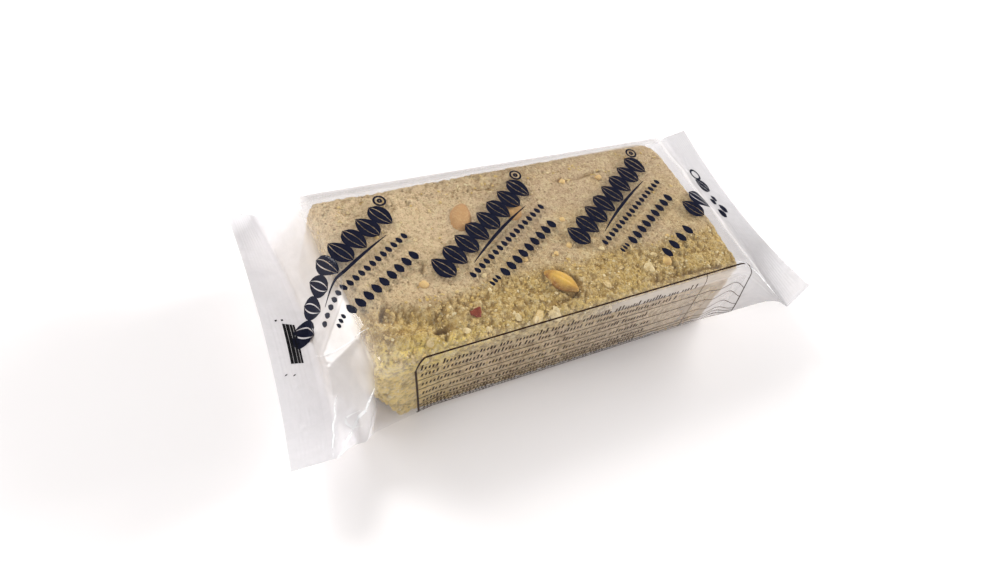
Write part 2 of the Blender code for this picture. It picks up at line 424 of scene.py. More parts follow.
# --- Peanuts ----------------------------------------------------------------------------------
# Halves, chopped bits and one flake of red skin, pressed into the face of the block: each is laid
# on the relief where it shows and sunk so that only its top stands out.
PALE_NUT, ROASTED_NUT, NUT_EDGE = (0.50, 0.290, 0.125), (0.70, 0.43, 0.085), (0.23, 0.080, 0.014)
CUT_NUT, NUT_VEIN, NUT_CLEARANCE = (0.82, 0.60, 0.27), (0.72, 0.53, 0.28), 0.25
HALVES = (  # centre, turn in degrees, length, width, thickness, how far it stands out, roast
    ((-28.6, 12.9), 58, 14.4, 8.2, 3.0, 0.75, 0.0), ((-8.2, 11.0), 56, 11.0, 7.4, 3.0, 0.65, 0.12),
    ((-6.6, -21.0), -53, 13.6, 7.2, 4.6, 2.3, 1.0))
BITS = (  # centre, turn, size, how far it stands out, roast
    ((-53.5, -10.0), 20, 3.3, 1.1, 0.35), ((17.7, 19.6), 50, 3.0, 0.8, 0.2), ((33.4, 18.1), 10, 2.8, 0.8, 0.25),
    ((7.6, 2.8), 70, 2.6, 0.5, 0.4), ((3.7, -8.6), 35, 2.8, 0.5, 0.45), ((-15.3, -9.9), 15, 2.4, 0.5, 0.4),
    ((38.2, -24.0), 70, 4.2, 1.0, 1.0), ((-2.8, -10.5), 60, 1.8, 0.5, 0.5), ((23.5, -1.5), 15, 1.7, 0.4, 0.4),
    ((52.0, 6.0), 30, 1.5, 0.4, 0.5), ((-60.5, 12.0), 80, 1.6, 0.4, 0.3), ((44.5, -14.5), 5, 1.7, 0.4, 0.6))
SKIN_CENTRE, SKIN_SIZE, SKIN_RED, SKIN_STREAK = (-41.6, -24.4), 4.3, (0.16, 0.024, 0.010), (0.27, 0.055, 0.024)

DOWN, OVERHEAD = Vector((0, 0, -1)), 60  # rays that look for the relief start at this height


def block_level(x, y):
    """Height of the block's relief at a place seen from above, in mm."""
    hit, spot, _, _ = block.ray_cast(Vector((x, y, OVERHEAD)) * MM, DOWN)
    return spot.z / MM if hit else BLOCK_HIGH.z


def join_as(pieces, name):
    bpy.ops.object.select_all(action="DESELECT")
    for piece in pieces:
        piece.select_set(True)
    bpy.context.view_layer.objects.active = pieces[0]
    if len(pieces) > 1:
        bpy.ops.object.join()
    joined = bpy.context.object
    joined.name = joined.data.name = name
    bpy.ops.object.transform_apply(location=True, rotation=True, scale=True)
    return joined


def start_grain(kind, size, **shape):
    """A primitive at true size, and its points, ready to be shaped."""
    bpy.ops.object.select_all(action="DESELECT")
    add = getattr(bpy.ops.mesh, "primitive_" + kind + "_add")
    add(location=(0, 0, 0), **shape)
    grain = bpy.context.object
    coords = read_points(grain)
    coords *= np.array(size) / np.ptp(coords, axis=0)
    return grain, coords


def lay_grain(grain, coords, x, y, turn, stands_out, roast):
    """Turns a finished shape about Z, and sinks it at its place until only its top stands out."""
    c, s = math.cos(math.radians(turn)), math.sin(math.radians(turn))
    laid = coords @ np.array([[c, s, 0], [-s, c, 0], [0, 0, 1]])
    ceiling = min(block_level(x, y) + stands_out, BODY_TOP - NUT_CLEARANCE)
    laid += np.array([x, y, ceiling - laid[:, 2].max()])
    write_points(grain, laid)
    paint(grain, "roast", np.full(len(laid), roast))
    bpy.ops.object.shade_smooth()
    return grain


halves = []
for (x, y), turn, length, width, thick, stands_out, roast in HALVES:
    half, coords = start_grain("uv_sphere", (length, width, thick), segments=32, ring_count=20)
    run, side = coords[:, 0] / (length / 2), coords[:, 1] / (width / 2)
    pointed = 1 - (0.10 + 0.25 * roast) * np.abs(run) ** 2 - 0.16 * run
    coords[:, 1] *= pointed * (1 + 0.10 * roast * np.sin(3.1 * run + 0.5))
    coords[:, 1] += (0.9 - 0.5 * roast) * (1 - run**2) * 0.25
    coords[:, 2] *= np.where(coords[:, 2] < 0, 0.35, 1.0)
    coords[:, 2] -= 0.22 * np.exp(-(side / 0.16) ** 2) * (coords[:, 2] > 0) * (1 - np.abs(run)) * (0.6 + roast)
    coords += 0.14 * noise_over(coords, 3.2, x)[:, None] * np.array([0.6, 0.8, 1.0])
    paint(half, "rim", np.clip(1.3 * np.hypot(run, side) ** 2.4, 0, 1))
    halves.append(lay_grain(half, coords, x, y, turn, stands_out, roast))
bits = []
for (x, y), turn, size, stands_out, roast in BITS:
    bit, coords = start_grain("ico_sphere", (size, 0.82 * size, 0.8 * size), subdivisions=3)
    squared = np.sign(coords) * (np.abs(coords) / (size / 2)) ** 0.72 * size / 2
    coords = squared + 0.11 * size * noise_over(coords, 0.55 * size, x + y)[:, None] * np.array([1, 0.8, 0.8])
    paint(bit, "rim", np.clip(np.abs(coords[:, 0]) / size, 0, 1))
    paint(bit, "cut", smooth(0.15, 0.38, coords[:, 2] / size))
    bits.append(lay_grain(bit, coords, x, y, turn, stands_out, roast))
peanut_halves, peanut_bits = join_as(halves, "peanut_halves"), join_as(bits, "peanut_bits")

peanut, tree, output = start_material("roasted_peanut")
place = object_place(tree)
roast = painted(tree, "roast")
rim = painted(tree, "rim")
grainy_nut = noise_at(tree, place, 320.0, 5.0, 0.6)
veins = noise_at(tree, place, 900.0, 3.0, 0.55, 1.0)
cut = painted(tree, "cut")
nut = blend_colors(tree, roast, PALE_NUT, ROASTED_NUT)
nut = blend_colors(tree, times(tree, cut, 0.7), nut, CUT_NUT)
browned = times(tree, rim, remap(tree, roast, 0.0, 1.0, 0.35, 0.95))
browned = times(tree, browned, remap(tree, grainy_nut, 0.28, 0.58))
nut = blend_colors(tree, browned, nut, NUT_EDGE)
nut = blend_colors(tree, remap(tree, veins, 0.52, 0.75, 0.0, 0.45), nut, NUT_VEIN)
bump = bump_of(tree, veins, 0.35, 0.0004)
shader = add_node(tree, "BsdfPrincipled", {
    "Base Color": nut, "Roughness": remap(tree, grainy_nut, 0.3, 0.7, 0.32, 0.55),
    "Subsurface Weight": 0.12, "Subsurface Radius": (0.0025, 0.0014, 0.0006), "Subsurface Scale": 1.0,
    "Normal": bump})
show(tree, output, shader)
for piece in (peanut_halves, peanut_bits):
    piece.data.materials.append(peanut)
    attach(piece, "root")

x, y = SKIN_CENTRE
skin, coords = start_grain("ico_sphere", (SKIN_SIZE, 0.78 * SKIN_SIZE, 0.9), subdivisions=3)
angle = np.arctan2(coords[:, 1], coords[:, 0])
coords[:, :2] *= (1 + 0.16 * np.sin(3 * angle + 0.6) + 0.10 * np.sin(7 * angle))[:, None]
coords[:, 2] += 0.05 * coords[:, 0] ** 2 - 0.04 * coords[:, 1] ** 2
lay_grain(skin, coords, x, y, 25, 0.75, 0.0)
skin.name = skin.data.name = "peanut_skin"
red_skin, tree, output = start_material("red_peanut_skin")
place = object_place(tree)
streak = noise_at(tree, place, 520.0, 5.0, 0.65, 0.8)
bump = bump_of(tree, streak, 0.6, 0.0004)
shader = add_node(tree, "BsdfPrincipled", {
    "Base Color": blend_colors(tree, remap(tree, streak, 0.4, 0.7), SKIN_RED, SKIN_STREAK),
    "Roughness": remap(tree, streak, 0.3, 0.7, 0.4, 0.65), "Normal": bump})
show(tree, output, shader)
skin.data.materials.append(red_skin)
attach(skin, "root")


# --- Loose crumbs -----------------------------------------------------------------------------
# Flakes and grains that have broken from the shoulder and the ends and stick where they fell.
# Each is a small angular chip of the same paste, some of them almost white with sugar.
CRUMB_COUNT, CRUMB_SIZES, TOP_CLEARANCE, SIDE_CLEARANCE = 1900, (0.5, 1.8), 0.22, 0.15
BIG_FLAKES = (((-21.4, -31.0), 5.4), ((-14.1, -32.0), 5.8), ((-27.5, -29.6), 3.6), ((-47.5, -29.0), 3.4),
              ((9.5, -27.0), 3.8), ((29.0, -25.0), 4.6), ((-33.0, -12.5), 3.0), ((34.0, -20.5), 3.4),
              ((-60.5, -30.2), 3.2), ((18.5, -22.0), 3.0), ((-39.5, -30.8), 3.0), ((15.0, -13.0), 2.8))
CHIP_TAN, CHIP_PALE = (0.68, 0.51, 0.24), (0.82, 0.70, 0.43)
draw = random.Random(41)
chip_template = bmesh.new()
bmesh.ops.create_icosphere(chip_template, subdivisions=1, radius=0.5)
chip_points = np.array([vert.co[:] for vert in chip_template.verts])
chip_faces = [[vert.index for vert in face.verts] for face in chip_template.faces]
chip_template.free()
crumb_points, crumb_faces, crumb_tones = [], [], []


def new_piece(name, points, faces):
    """A piece from its points in mm and its faces, selected and active."""
    mesh = bpy.data.meshes.new(name)
    mesh.from_pydata((np.asarray(points) * MM).tolist(), [], faces)
    piece = bpy.data.objects.new(name, mesh)
    bpy.context.scene.collection.objects.link(piece)
    bpy.ops.object.select_all(action="DESELECT")
    bpy.context.view_layer.objects.active = piece
    piece.select_set(True)
    return piece


def add_chip(spot, outward, size, flat, tone):
    """One jittered chip: laid along the surface that it sticks to, and half sunk in it."""
    shape = chip_points * np.array([size * draw.uniform(0.7, 1.2), size * draw.uniform(0.55, 1.0), size * flat])
    shape *= np.array([[draw.uniform(0.72, 1.25)] for _ in shape])
    turn = Vector(outward).to_track_quat("Z", "Y").to_matrix() @ Matrix.Rotation(draw.uniform(0, 6.28), 3, "Z")
    turn = turn @ Matrix.Rotation(draw.uniform(-0.5, 0.5), 3, "X")
    laid = shape @ np.array(turn).T + np.array(spot)
    laid[:, 2] = np.minimum(laid[:, 2], BODY_TOP - TOP_CLEARANCE)
    laid[:, 1] = np.maximum(laid[:, 1], BODY_FRONT + SIDE_CLEARANCE)
    start = sum(len(p) for p in crumb_points)
    crumb_points.append(laid)
    crumb_faces.extend([[start + k for k in face] for face in chip_faces])
    crumb_tones.extend([tone] * len(laid))


for _ in range(CRUMB_COUNT):
    kind = draw.random()
    size = CRUMB_SIZES[0] + (CRUMB_SIZES[1] - CRUMB_SIZES[0]) * draw.random() ** 2.6
    tone = draw.random()
    if kind < 0.62:  # on the shoulder
        ray = Vector((draw.uniform(-74, 67), -33.6 + 19 * draw.random() ** 1.5, OVERHEAD)), DOWN
    elif kind < 0.72:  # along the knobbly back and here and there on top
        across = draw.uniform(-72, 66), draw.choice((draw.uniform(18, 29), draw.uniform(-16, 28)))
        ray = Vector((*across, OVERHEAD)), DOWN
    elif kind < 0.90:  # on the printed side
        ray = Vector((-75 + 142 * draw.random() ** 1.3, -60, 35 * draw.random())), Vector((0, 1, 0))
    else:  # on the left end
        ray = Vector((-95, draw.uniform(-32, 28), draw.uniform(1, 34))), Vector((1, 0, 0))
    hit, spot, outward, _ = block.ray_cast(ray[0] * MM, ray[1])
    if hit:
        add_chip(spot / MM, outward, size, draw.uniform(0.35, 0.75), tone)
for (x, y), size in BIG_FLAKES:
    hit, spot, outward, _ = block.ray_cast(Vector((x, y, OVERHEAD)) * MM, DOWN)
    for _ in range(3):
        near = Vector((draw.uniform(-0.16, 0.16) * size, draw.uniform(-0.12, 0.12) * size, 0.1))
        add_chip(spot / MM + near, outward, size * draw.uniform(0.6, 1.0), 0.22, 0.72 + 0.2 * draw.random())
crumbs = new_piece("halva_crumbs", np.concatenate(crumb_points), crumb_faces)
paint(crumbs, "tone", np.array(crumb_tones))
chip, tree, output = start_material("halva_chip")
place = object_place(tree)
tone = painted(tree, "tone")
grit = noise_at(tree, place, 1300.0, 4.0, 0.7)
paste = blend_colors(tree, remap(tree, tone, 0.15, 0.75), OLIVE_YELLOW, CHIP_TAN)
paste = blend_colors(tree, remap(tree, tone, 0.78, 0.98), paste, CHIP_PALE)
paste = blend_colors(tree, remap(tree, grit, 0.5, 0.3, 0.0, 0.5), paste, DARK_GRIT_AND_PIT_SHADE)
bump = bump_of(tree, grit, 0.6, 0.0004)
shader = add_node(tree, "BsdfPrincipled", {
    "Base Color": paste, "Roughness": remap(tree, grit, 0.3, 0.7, 0.35, 0.7),
    "Specular IOR Level": 0.5, "Normal": bump})
show(tree, output, shader)
crumbs.data.materials.append(chip)
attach(crumbs, "root")


# --- Film -------------------------------------------------------------------------------------
# One tube of clear film round the block, pulled down at each end into a ribbed crimp. Corners
# of the section are followed along the tube, and each knows where on the flat crimp it lies.
BODY_BACK_LEFT, BODY_BACK_RIGHT, CORNER_RADIUS = 36.6, 33.8, 5.0
FLARE_START, FLARE = -55.0, 3.2
HALF_WIDTH, FIN_HALF_THICKNESS = 48.5, 0.15
LEFT_FIN = {"inner": ((-95.7, -48.5, 17.4), (-86.6, -1.0, 15.0), (-89.1, 46.5, 17.4)),
            "outer": ((-109.2, -48.0, 17.4), (-100.4, -1.0, 14.6), (-98.6, 46.1, 24.2))}
RIGHT_FIN = {"inner": ((92.5, -48.0, 17.4), (95.5, 0.0, 16.6), (97.5, 47.3, 17.4)),
             "outer": ((96.3, -47.7, 29.5), (107.4, 0.0, 15.6), (109.2, 48.5, 18.4))}
RIB_COUNT, RIB_HEIGHT, RIB_START, RIB_END = 8, 0.055, 0.14, 0.86
LIP_STEPS = (0.91, 0.96, 1.0)  # the plain lip beyond the ribs, out to the cut edge
PANEL_STEPS = {"front": 28, "top": 72, "back": 28, "bottom": 40}
ARC_STEPS, BODY_STEPS, TAPER_STEPS, RIB_STEPS = 6, 116, 30, 4
FOLD_SHARE = 0.25  # how far along the back panel the back fold of the crimp takes it
# Where the four corners of the tube lie round the flat crimp, in mm from its front fold.
LEFT_CORNERS = {"front_low": 0.0, "front_top": 34.5, "back_top": 92.0, "back_low": 116.0}
RIGHT_CORNERS = {"front_low": -5.0, "front_top": 0.0, "back_top": 95.0, "back_low": 117.0}


def stations():
    """Round the tube from the front panel's foot: (panel or corner, share of the way along it)."""
    found = []
    for panel, corner in zip(PANEL_STEPS, ("front_top", "back_top", "back_low", "front_low")):
        found += [(panel, k / PANEL_STEPS[panel]) for k in range(PANEL_STEPS[panel])]
        found += [(corner, k / ARC_STEPS) for k in range(ARC_STEPS)]
    return found


STATIONS = stations()


def body_section(back):
    """The tube's section round the block: (across, height) at each station."""
    front, top_level, r = BODY_FRONT, BODY_TOP, CORNER_RADIUS
    flats = {"front": ((front, r), (front, top_level - r)),
             "top": ((front + r, top_level), (back - r, top_level)),
             "back": ((back, top_level - r), (back, r)), "bottom": ((back - r, 0), (front + r, 0))}
    centres = {"front_top": (front + r, top_level - r, 180), "back_top": (back - r, top_level - r, 90),
               "back_low": (back - r, r, 0), "front_low": (front + r, r, -90)}
    ring = []
    for name, share in STATIONS:
        if name in flats:
            (y0, z0), (y1, z1) = flats[name]
            ring.append((y0 + (y1 - y0) * share, z0 + (z1 - z0) * share))
        else:
            y, z, start = centres[name]
            angle = math.radians(start - 90 * share)
            ring.append((y + r * math.cos(angle), z + r * math.sin(angle)))
    return np.array(ring)


def body_ring(x):
    run = (x - BODY_LEFT) / (BODY_RIGHT - BODY_LEFT)
    back = BODY_BACK_LEFT + (BODY_BACK_RIGHT - BODY_BACK_LEFT) * run
    across, height = body_section(back).T
    flare = FLARE * max(0.0, (FLARE_START - x) / (FLARE_START - BODY_LEFT))
    across = across - flare * (back - across) / (back - BODY_FRONT) * (1 - height / BODY_TOP)
    return np.stack([np.full(len(across), x), across, height], axis=1)


def through(three, across):
    front, centre, back = (np.array(p) for p in three)
    q = across[:, None]
    return centre + q * (back - front) / 2 + q**2 * ((back + front) / 2 - centre)


def fin_sheet(fin, across, outward):
    inner, outer = through(fin["inner"], across), through(fin["outer"], across)
    sheet = inner + (outer - inner) * outward
    sheet[:, 2] = inner[:, 2] + (outer[:, 2] - inner[:, 2]) * outward**1.5
    return sheet


def crimp_places(corners):
    """How far round the flat crimp each station lies, in mm from the front fold."""
    order = ["front_low", "front_top", "back_top", "back_low"]
    at = [corners[name] for name in order] + [corners["front_low"] + 4 * HALF_WIDTH]
    spans = dict(zip(("front", "top", "back", "bottom"), zip(at, at[1:])))
    half_arc, fold = 0.7, 2 * HALF_WIDTH
    places = []
    for name, share in STATIONS:
        if name in spans:
            start, end = spans[name][0] + half_arc, spans[name][1] - half_arc
            if name != "back":
                places.append(start + (end - start) * share)
            elif share < FOLD_SHARE:  # part of the back panel lies in front of the back fold
                places.append(start + (fold - start) * share / FOLD_SHARE)
            else:
                places.append(fold + (end - fold) * (share - FOLD_SHARE) / (1 - FOLD_SHARE))
        else:
            corner = corners[name] + (4 * HALF_WIDTH if name == "front_low" else 0)
            places.append(corner + half_arc * (2 * share - 1))
    return np.array(places) % (4 * HALF_WIDTH)


def fin_ring(fin, corners, outward, rib):
    """The tube pressed flat at a distance out from the crimp's start, its two layers just apart."""
    places = crimp_places(corners)
    upper = places <= 2 * HALF_WIDTH
    across = np.where(upper, places - HALF_WIDTH, 3 * HALF_WIDTH - places) / HALF_WIDTH
    from_fold = np.minimum(np.abs(places - 2 * HALF_WIDTH), np.minimum(places, 4 * HALF_WIDTH - places))
    lift = FIN_HALF_THICKNESS * np.clip(from_fold / 0.4, 0, 1) * np.where(upper, 1, -1)
    step = 0.02
    centre = min(max(outward, step), 1 - step)
    along = fin_sheet(fin, across, centre + step) - fin_sheet(fin, across, centre - step)
    beside = fin_sheet(fin, across + step, outward) - fin_sheet(fin, across - step, outward)
    up = np.cross(along, beside)
    up /= np.linalg.norm(up, axis=1)[:, None]
    up *= np.sign(up[:, 2:3])
    return fin_sheet(fin, across, outward) + up * (lift + rib)[:, None]


def film_half(fin, corners, body):
    """Rings from the end of the block out to the cut edge of the crimp."""
    root = fin_ring(fin, corners, 0.0, 0.0)
    rings = []
    for step in range(1, TAPER_STEPS):
        t = step / TAPER_STEPS
        fall = 0.6 * t + 0.4 * t * t * (3 - 2 * t)
        ring = body + (root - body) * t
        ring[:, 2] = body[:, 2] + (root[:, 2] - body[:, 2]) * fall
        rings.append(ring)
    rings.append(root)
    for step in range(RIB_STEPS * RIB_COUNT + 1):
        outward = RIB_START + (RIB_END - RIB_START) * step / (RIB_STEPS * RIB_COUNT)
        rings.append(fin_ring(fin, corners, outward, RIB_HEIGHT * math.sin(math.pi * step / RIB_STEPS) ** 2))
    for outward in LIP_STEPS:
        rings.append(fin_ring(fin, corners, outward, 0.0))
    return rings


body = [body_ring(BODY_LEFT + (BODY_RIGHT - BODY_LEFT) * k / BODY_STEPS) for k in range(BODY_STEPS + 1)]
left_rings = film_half(LEFT_FIN, LEFT_CORNERS, body[0])
right_rings = film_half(RIGHT_FIN, RIGHT_CORNERS, body[-1])
film_grid = np.array(left_rings[::-1] + body + right_rings)
RINGS, AROUND = film_grid.shape[:2]
LEFT_END, RIGHT_END = len(left_rings), len(left_rings) + BODY_STEPS
for end in (LEFT_END, RIGHT_END):  # the film turns down over the block's rim in a soft bend
    before, bend, after = (film_grid[end + k:end + k + 7] for k in (-4, -3, -2))
    for _ in range(7):
        bend[:] = 0.5 * bend + 0.25 * (before + after)


def outward_normals(grid):
    along = np.gradient(grid, axis=0)
    beside = np.roll(grid, -1, axis=1) - np.roll(grid, 1, axis=1)
    up = np.cross(beside, along)
    length = np.linalg.norm(up, axis=2, keepdims=True)
    up = up / np.where(length > 1e-9, length, 1)
    return up if up[RINGS // 2, PANEL_STEPS["front"] + ARC_STEPS + 36, 2] > 0 else -up


# Drawn from the block's corners to the crimp, the stiff film stands up in sharp creases, and it
# comes out of the crimp in small pleats. A crease runs between two places on the film.
CREASES = (  # from, to, how far its slopes reach, how high it stands
    ((-78.8, -16.0, 35.4), (-86.0, 1.0, 17.0), 4.5, 0.3),
    ((-87.0, -28.5, 17.4), (-96.0, -46.5, 17.4), 3.2, 0.9),
    ((-79.1, -34.6, 25.8), (-94.5, -45.5, 17.3), 4.0, 1.1),
    ((-82.7, -35.9, 17.2), (-88.2, -37.0, 16.0), 2.2, 0.8),
    ((-88.2, -37.0, 16.0), (-82.6, -39.0, 12.4), 2.0, 0.7),
    ((-81.5, -24.0, 28.0), (-89.0, -27.0, 17.0), 5.0, 0.6),
    ((-79.0, 20.0, 35.0), (-88.5, 30.0, 17.0), 7.0, 0.7),
    ((71.0, -6.0, 37.0), (93.0, -24.0, 17.5), 6.0, 0.7),
    ((71.0, 14.0, 37.0), (95.0, 22.0, 17.0), 6.0, 0.6))
ROOT_RINGS = RIB_STEPS * RIB_COUNT + len(LIP_STEPS) + 1
PLEAT_WIDTH, PLEAT_LENGTH, PLEAT_REACH = 3.4, 26, 11.0  # in stations, rings and rings
PLEAT_HEIGHT = 0.42
smooth_grid = film_grid.copy()
ring_number = np.arange(RINGS)
loose = smooth(ROOT_RINGS - 1, ROOT_RINGS + 4, ring_number)
loose *= smooth(RINGS - ROOT_RINGS, RINGS - ROOT_RINGS - 5, ring_number)
upper = crimp_places(LEFT_CORNERS) <= 2 * HALF_WIDTH
for start, end, reach, rise in CREASES:
    normals = outward_normals(film_grid)
    start, run = np.array(start), np.array(end) - np.array(start)
    t = np.clip((film_grid - start) @ run / (run @ run), 0, 1)
    away = np.linalg.norm(film_grid - (start + t[..., None] * run), axis=2)
    tent = np.clip(1 - away / reach, 0, 1) * np.sin(np.pi * (0.10 + 0.80 * t)) ** 0.6
    film_grid += normals * (rise * tent * loose[:, None] * upper)[..., None]
# The biggest is a dog-ear at the front corner of the left end. Its flat facets are planes, each
# through a place, and the film is pushed out along one line until it meets the lowest of them.
EAR_PUSH, EAR_START, MOST_PUSH = np.array((-0.314, -0.493, 0.811)), -76.9, 8.5
EAR_FACETS = (((-76.9, -20.7, 37.1), (-0.743, -0.226, 0.630)), ((-76.9, -20.7, 37.1), (-0.655, -0.480, 0.584)),
              ((-82.9, -9.6, 32.9), (-0.885, 0.336, 0.322)), ((-76.9, -20.7, 37.6), (0.0, 0.0, 1.0)))
push = np.minimum(MOST_PUSH, 2.0 * (EAR_START - film_grid[:, :, 0]))
for spot, facing in EAR_FACETS:
    push = np.minimum(push, (np.array(spot) - film_grid) @ np.array(facing) / (EAR_PUSH @ np.array(facing)))
film_grid += EAR_PUSH * (np.clip(push, 0, None) * loose[:, None] * upper)[..., None]
normals = outward_normals(film_grid)
pleat_places = np.stack([np.tile(np.arange(AROUND), RINGS) / PLEAT_WIDTH,
                         np.repeat(ring_number, AROUND) / PLEAT_LENGTH, np.zeros(RINGS * AROUND)], axis=1)
pleats = noise_over(pleat_places, 1.0, 6.0).reshape(RINGS, AROUND)
from_root = np.minimum(np.abs(ring_number - ROOT_RINGS), np.abs(RINGS - 1 - ROOT_RINGS - ring_number))
pleated = np.exp(-(from_root / PLEAT_REACH) ** 2) * loose
film_grid += normals * (PLEAT_HEIGHT * np.abs(pleats) * pleated[:, None] * upper)[..., None]
film_normals = outward_normals(film_grid)

faces = []
for start in range(0, (RINGS - 1) * AROUND, AROUND):
    for j in range(AROUND):
        near, near_next = start + j, start + (j + 1) % AROUND
        faces.append((near, near + AROUND, near_next + AROUND, near_next))
film = new_piece("film_tube", film_grid.reshape(-1, 3), faces)
bpy.ops.object.shade_smooth()

# The film is clear on top, veiled on the side panel and the back, and milky over the tapers, with painted shade
# in its milk and a painted reflection along its top front edge.
TOP_HAZE, BACK_HAZE, LEFT_TAPER_HAZE, RIGHT_TAPER_HAZE, MOST_HAZE, MOST_WHITE = 0.03, 0.40, 0.86, 0.62, 0.9, 0.92
FILM_TINT, FILM_ROUGHNESS, FACE_MIRROR, EDGE_MIRROR = (0.985, 0.985, 0.99, 1), 0.10, 0.065, 0.30
ring_x, ring_y, ring_z = np.moveaxis(film_grid, 2, 0)
haze = TOP_HAZE + 0.12 * smooth(-66.0, -77.0, ring_x) + 0.22 * smooth(31.5, 33.6, ring_y)
panel_of = np.array([name for name, _ in STATIONS])
on_front, on_back = np.isin(panel_of, ["front", "front_low"]), np.isin(panel_of, ["back", "back_top"])
front_haze = TOP_HAZE + 0.30 * smooth(-30, 70, ring_x)
front_haze += 0.04 * smooth(-60, -74, ring_x) * smooth(22, 8, ring_z)
haze = np.where(on_front, front_haze, haze)
haze[:, on_back] = BACK_HAZE
# Painted reflection: extra haze whitens the film along its top front edge, more of it towards the right.
front_edge = np.array([name == "front_top" and share < 0.45 or name == "front" and share > 0.93
                       for name, share in STATIONS])
haze[:, front_edge] += 0.42 * smooth(-14, 22, ring_x[:, front_edge])
in_fin = smooth(ROOT_RINGS + 3, ROOT_RINGS - 2, ring_number)
in_fin += smooth(RINGS - ROOT_RINGS - 4, RINGS - ROOT_RINGS + 1, ring_number)
haze = np.maximum(haze, LEFT_TAPER_HAZE * smooth(-78.0, -81.5, ring_x) * (1 - 0.35 * in_fin)[:, None])
haze = np.maximum(haze, RIGHT_TAPER_HAZE * smooth(68.5, 73.5, ring_x) * (1 - 0.25 * in_fin)[:, None])
paint(film, "haze", np.clip(haze, 0, MOST_HAZE).ravel())
# Painted shade: the milky layer is greyer on the left crimp, over the right end and along the back strip.
milk_with_painted_shade = MOST_WHITE - 0.07 * (in_fin * (ring_number < RINGS // 2))[:, None]
milk_with_painted_shade = milk_with_painted_shade - (0.29 + 0.06 * smooth(10, -30, ring_y)) * smooth(60, 80, ring_x)
milk_with_painted_shade -= 0.42 * smooth(29.0, 32.0, ring_y) * smooth(-80, -74, ring_x) * smooth(74, 68, ring_x)
paint(film, "milk", milk_with_painted_shade.ravel())
seal_band = np.exp(-((ring_number - 15) / 4.0) ** 2) + np.exp(-((RINGS - 1 - ring_number - 15) / 4.0) ** 2)
paint(film, "seal", np.repeat(seal_band, AROUND))

clear_film, tree, output = start_material("clear_film")
place = object_place(tree)
milky = painted(tree, "haze")
cloud = noise_at(tree, place, 60.0, 5.0, 0.6, 0.6)
crinkle = noise_at(tree, place, 130.0, 3.0, 0.5, 1.2)
seal = painted(tree, "seal")
bubble_away, bubble_pick = cells_at(tree, place, 330.0)
bubble = times(tree, remap(tree, bubble_away, 0.42, 0.10), remap(tree, bubble_pick[0], 0.72, 0.80))
bubble = times(tree, bubble, seal)
crinkled = math_of(tree, "ADD", remap(tree, milky, 0.05, 0.7, 0.02, 0.16), times(tree, bubble, 0.6))
bump = bump_of(tree, math_of(tree, "ADD", crinkle, bubble), crinkled, 0.0012)
clear = add_node(tree, "BsdfTransparent", {"Color": FILM_TINT})
milk_level = painted(tree, "milk")
milk_color = add_node(tree, "CombineColor", {"Red": milk_level, "Green": times(tree, milk_level, 0.985),
                                             "Blue": milk_level}).outputs[0]
white = add_node(tree, "BsdfDiffuse", {"Color": milk_color, "Normal": bump})
through_light = add_node(tree, "BsdfTranslucent", {"Color": milk_color})
milk = add_node(tree, "MixShader", {0: 0.5, 1: white.outputs[0], 2: through_light.outputs[0]})
veil = times(tree, milky, remap(tree, cloud, 0.3, 0.7, 0.85, 1.12))
sheer = add_node(tree, "MixShader", {0: veil, 1: clear.outputs[0], 2: milk.outputs[0]})
gloss = add_node(tree, "BsdfGlossy", {"Color": (1, 1, 1, 1), "Roughness": FILM_ROUGHNESS, "Normal": bump})
edge_on = add_node(tree, "LayerWeight", {"Blend": 0.5, "Normal": bump}).outputs["Facing"]
mirror = math_of(tree, "ADD", times(tree, math_of(tree, "POWER", edge_on, 5.0), EDGE_MIRROR), FACE_MIRROR)
shine = add_node(tree, "MixShader", {0: mirror, 1: sheer.outputs[0], 2: gloss.outputs[0]})
show(tree, output, shine)
film.data.materials.append(clear_film)
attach(film, "root")
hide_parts("halva_pack")


# --- Print ------------------------------------------------------------------------------------
# Thin ink on the film: slanting dark blue marks of plain seed shapes across the top, a brown ruled
# table with rows of ticks on the side panel, and the cutter's eye mark with its dots on the left crimp.
INK_LIFT, INK_THICKNESS, INK_CELL = 0.05, 0.03, 1.1
TABLE_TOP, WAVE_HEIGHT, WAVE_RATE, WAVE_ZERO, WAVE_START, WAVE_GROWTH = 35.5, 1.7, 0.42, 50, 52, 12
DRAWN_BACK, DRAWN_FRONT = 0.38, 0.027  # how the print follows the film past the left end
TOP_START = PANEL_STEPS["front"] + ARC_STEPS


def tube_runs():
    """At each ring and station, the length along the film: x on the block, then on over the taper."""
    runs = smooth_grid[:, :, 0].copy()
    for ends, step, start in ((range(LEFT_END - 1, -1, -1), 1, -1), (range(RIGHT_END + 1, RINGS), -1, 1)):
        for i in ends:
            runs[i] = runs[i + step] + start * np.linalg.norm(smooth_grid[i] - smooth_grid[i + step], axis=1)
    return runs


film_runs = tube_runs()


def on_film(run, around):
    """The film's point and outward normal at a length along it and a station round it."""
    near = math.floor(around)
    share = around - near
    near, far = near % AROUND, (near + 1) % AROUND
    line = film_runs[:, near] * (1 - share) + film_runs[:, far] * share
    ring = min(max(float(np.interp(run, line, np.arange(RINGS))), 0), RINGS - 1.001)
    i = int(ring)
    t = ring - i
    spot = up = 0
    for row, weight in ((i, 1 - t), (i + 1, t)):
        spot = spot + weight * (film_grid[row, near] * (1 - share) + film_grid[row, far] * share)
        up = up + weight * (film_normals[row, near] * (1 - share) + film_normals[row, far] * share)
    return spot, up / np.linalg.norm(up)


